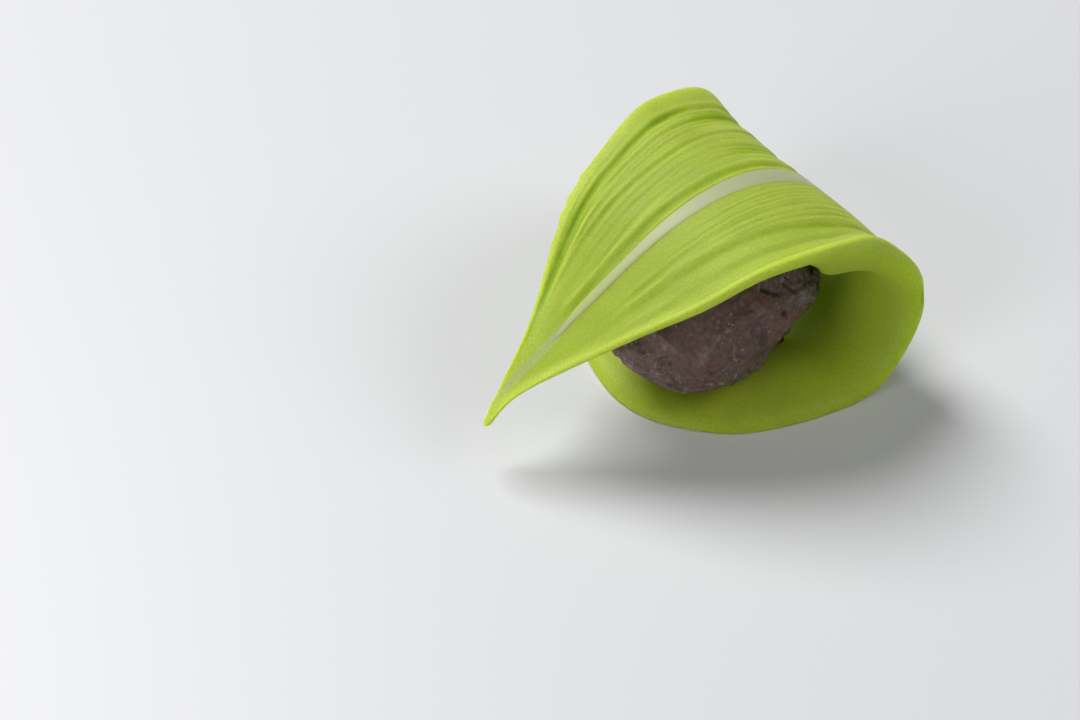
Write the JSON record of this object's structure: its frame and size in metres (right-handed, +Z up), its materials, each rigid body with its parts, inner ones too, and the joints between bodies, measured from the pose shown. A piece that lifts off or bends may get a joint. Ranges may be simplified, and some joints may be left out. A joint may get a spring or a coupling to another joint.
{
  "type": "nerikiri sweet",
  "caption": "Bean dough sweet: a broad green leaf with a white vein, folded over an oval lump of dark bean paste, its pointed tip hanging out past a round flat base.",
  "frame": {"origin": "the middle of the round base, on the surface that the sweet rests on", "axes": "+X towards the fold, so that the pointed tip is at -X; +Y towards the closed-looking far side, so that the open side faces -Y; +Z up"},
  "size_m": [0.0636, 0.0495, 0.0311],
  "materials": {
    "green_dough": "matte steamed bean dough, very finely granular, with combed lines",
    "white_dough": "pale bean dough, smooth and slightly translucent",
    "dark_bean_paste": "moist crumbly bean paste, dull with a few glossy specks"
  },
  "bodies": {
    "root": {"leaf": "green_dough", "vein": "white_dough", "bean_paste": "dark_bean_paste"}
  },
  "joints": []
}
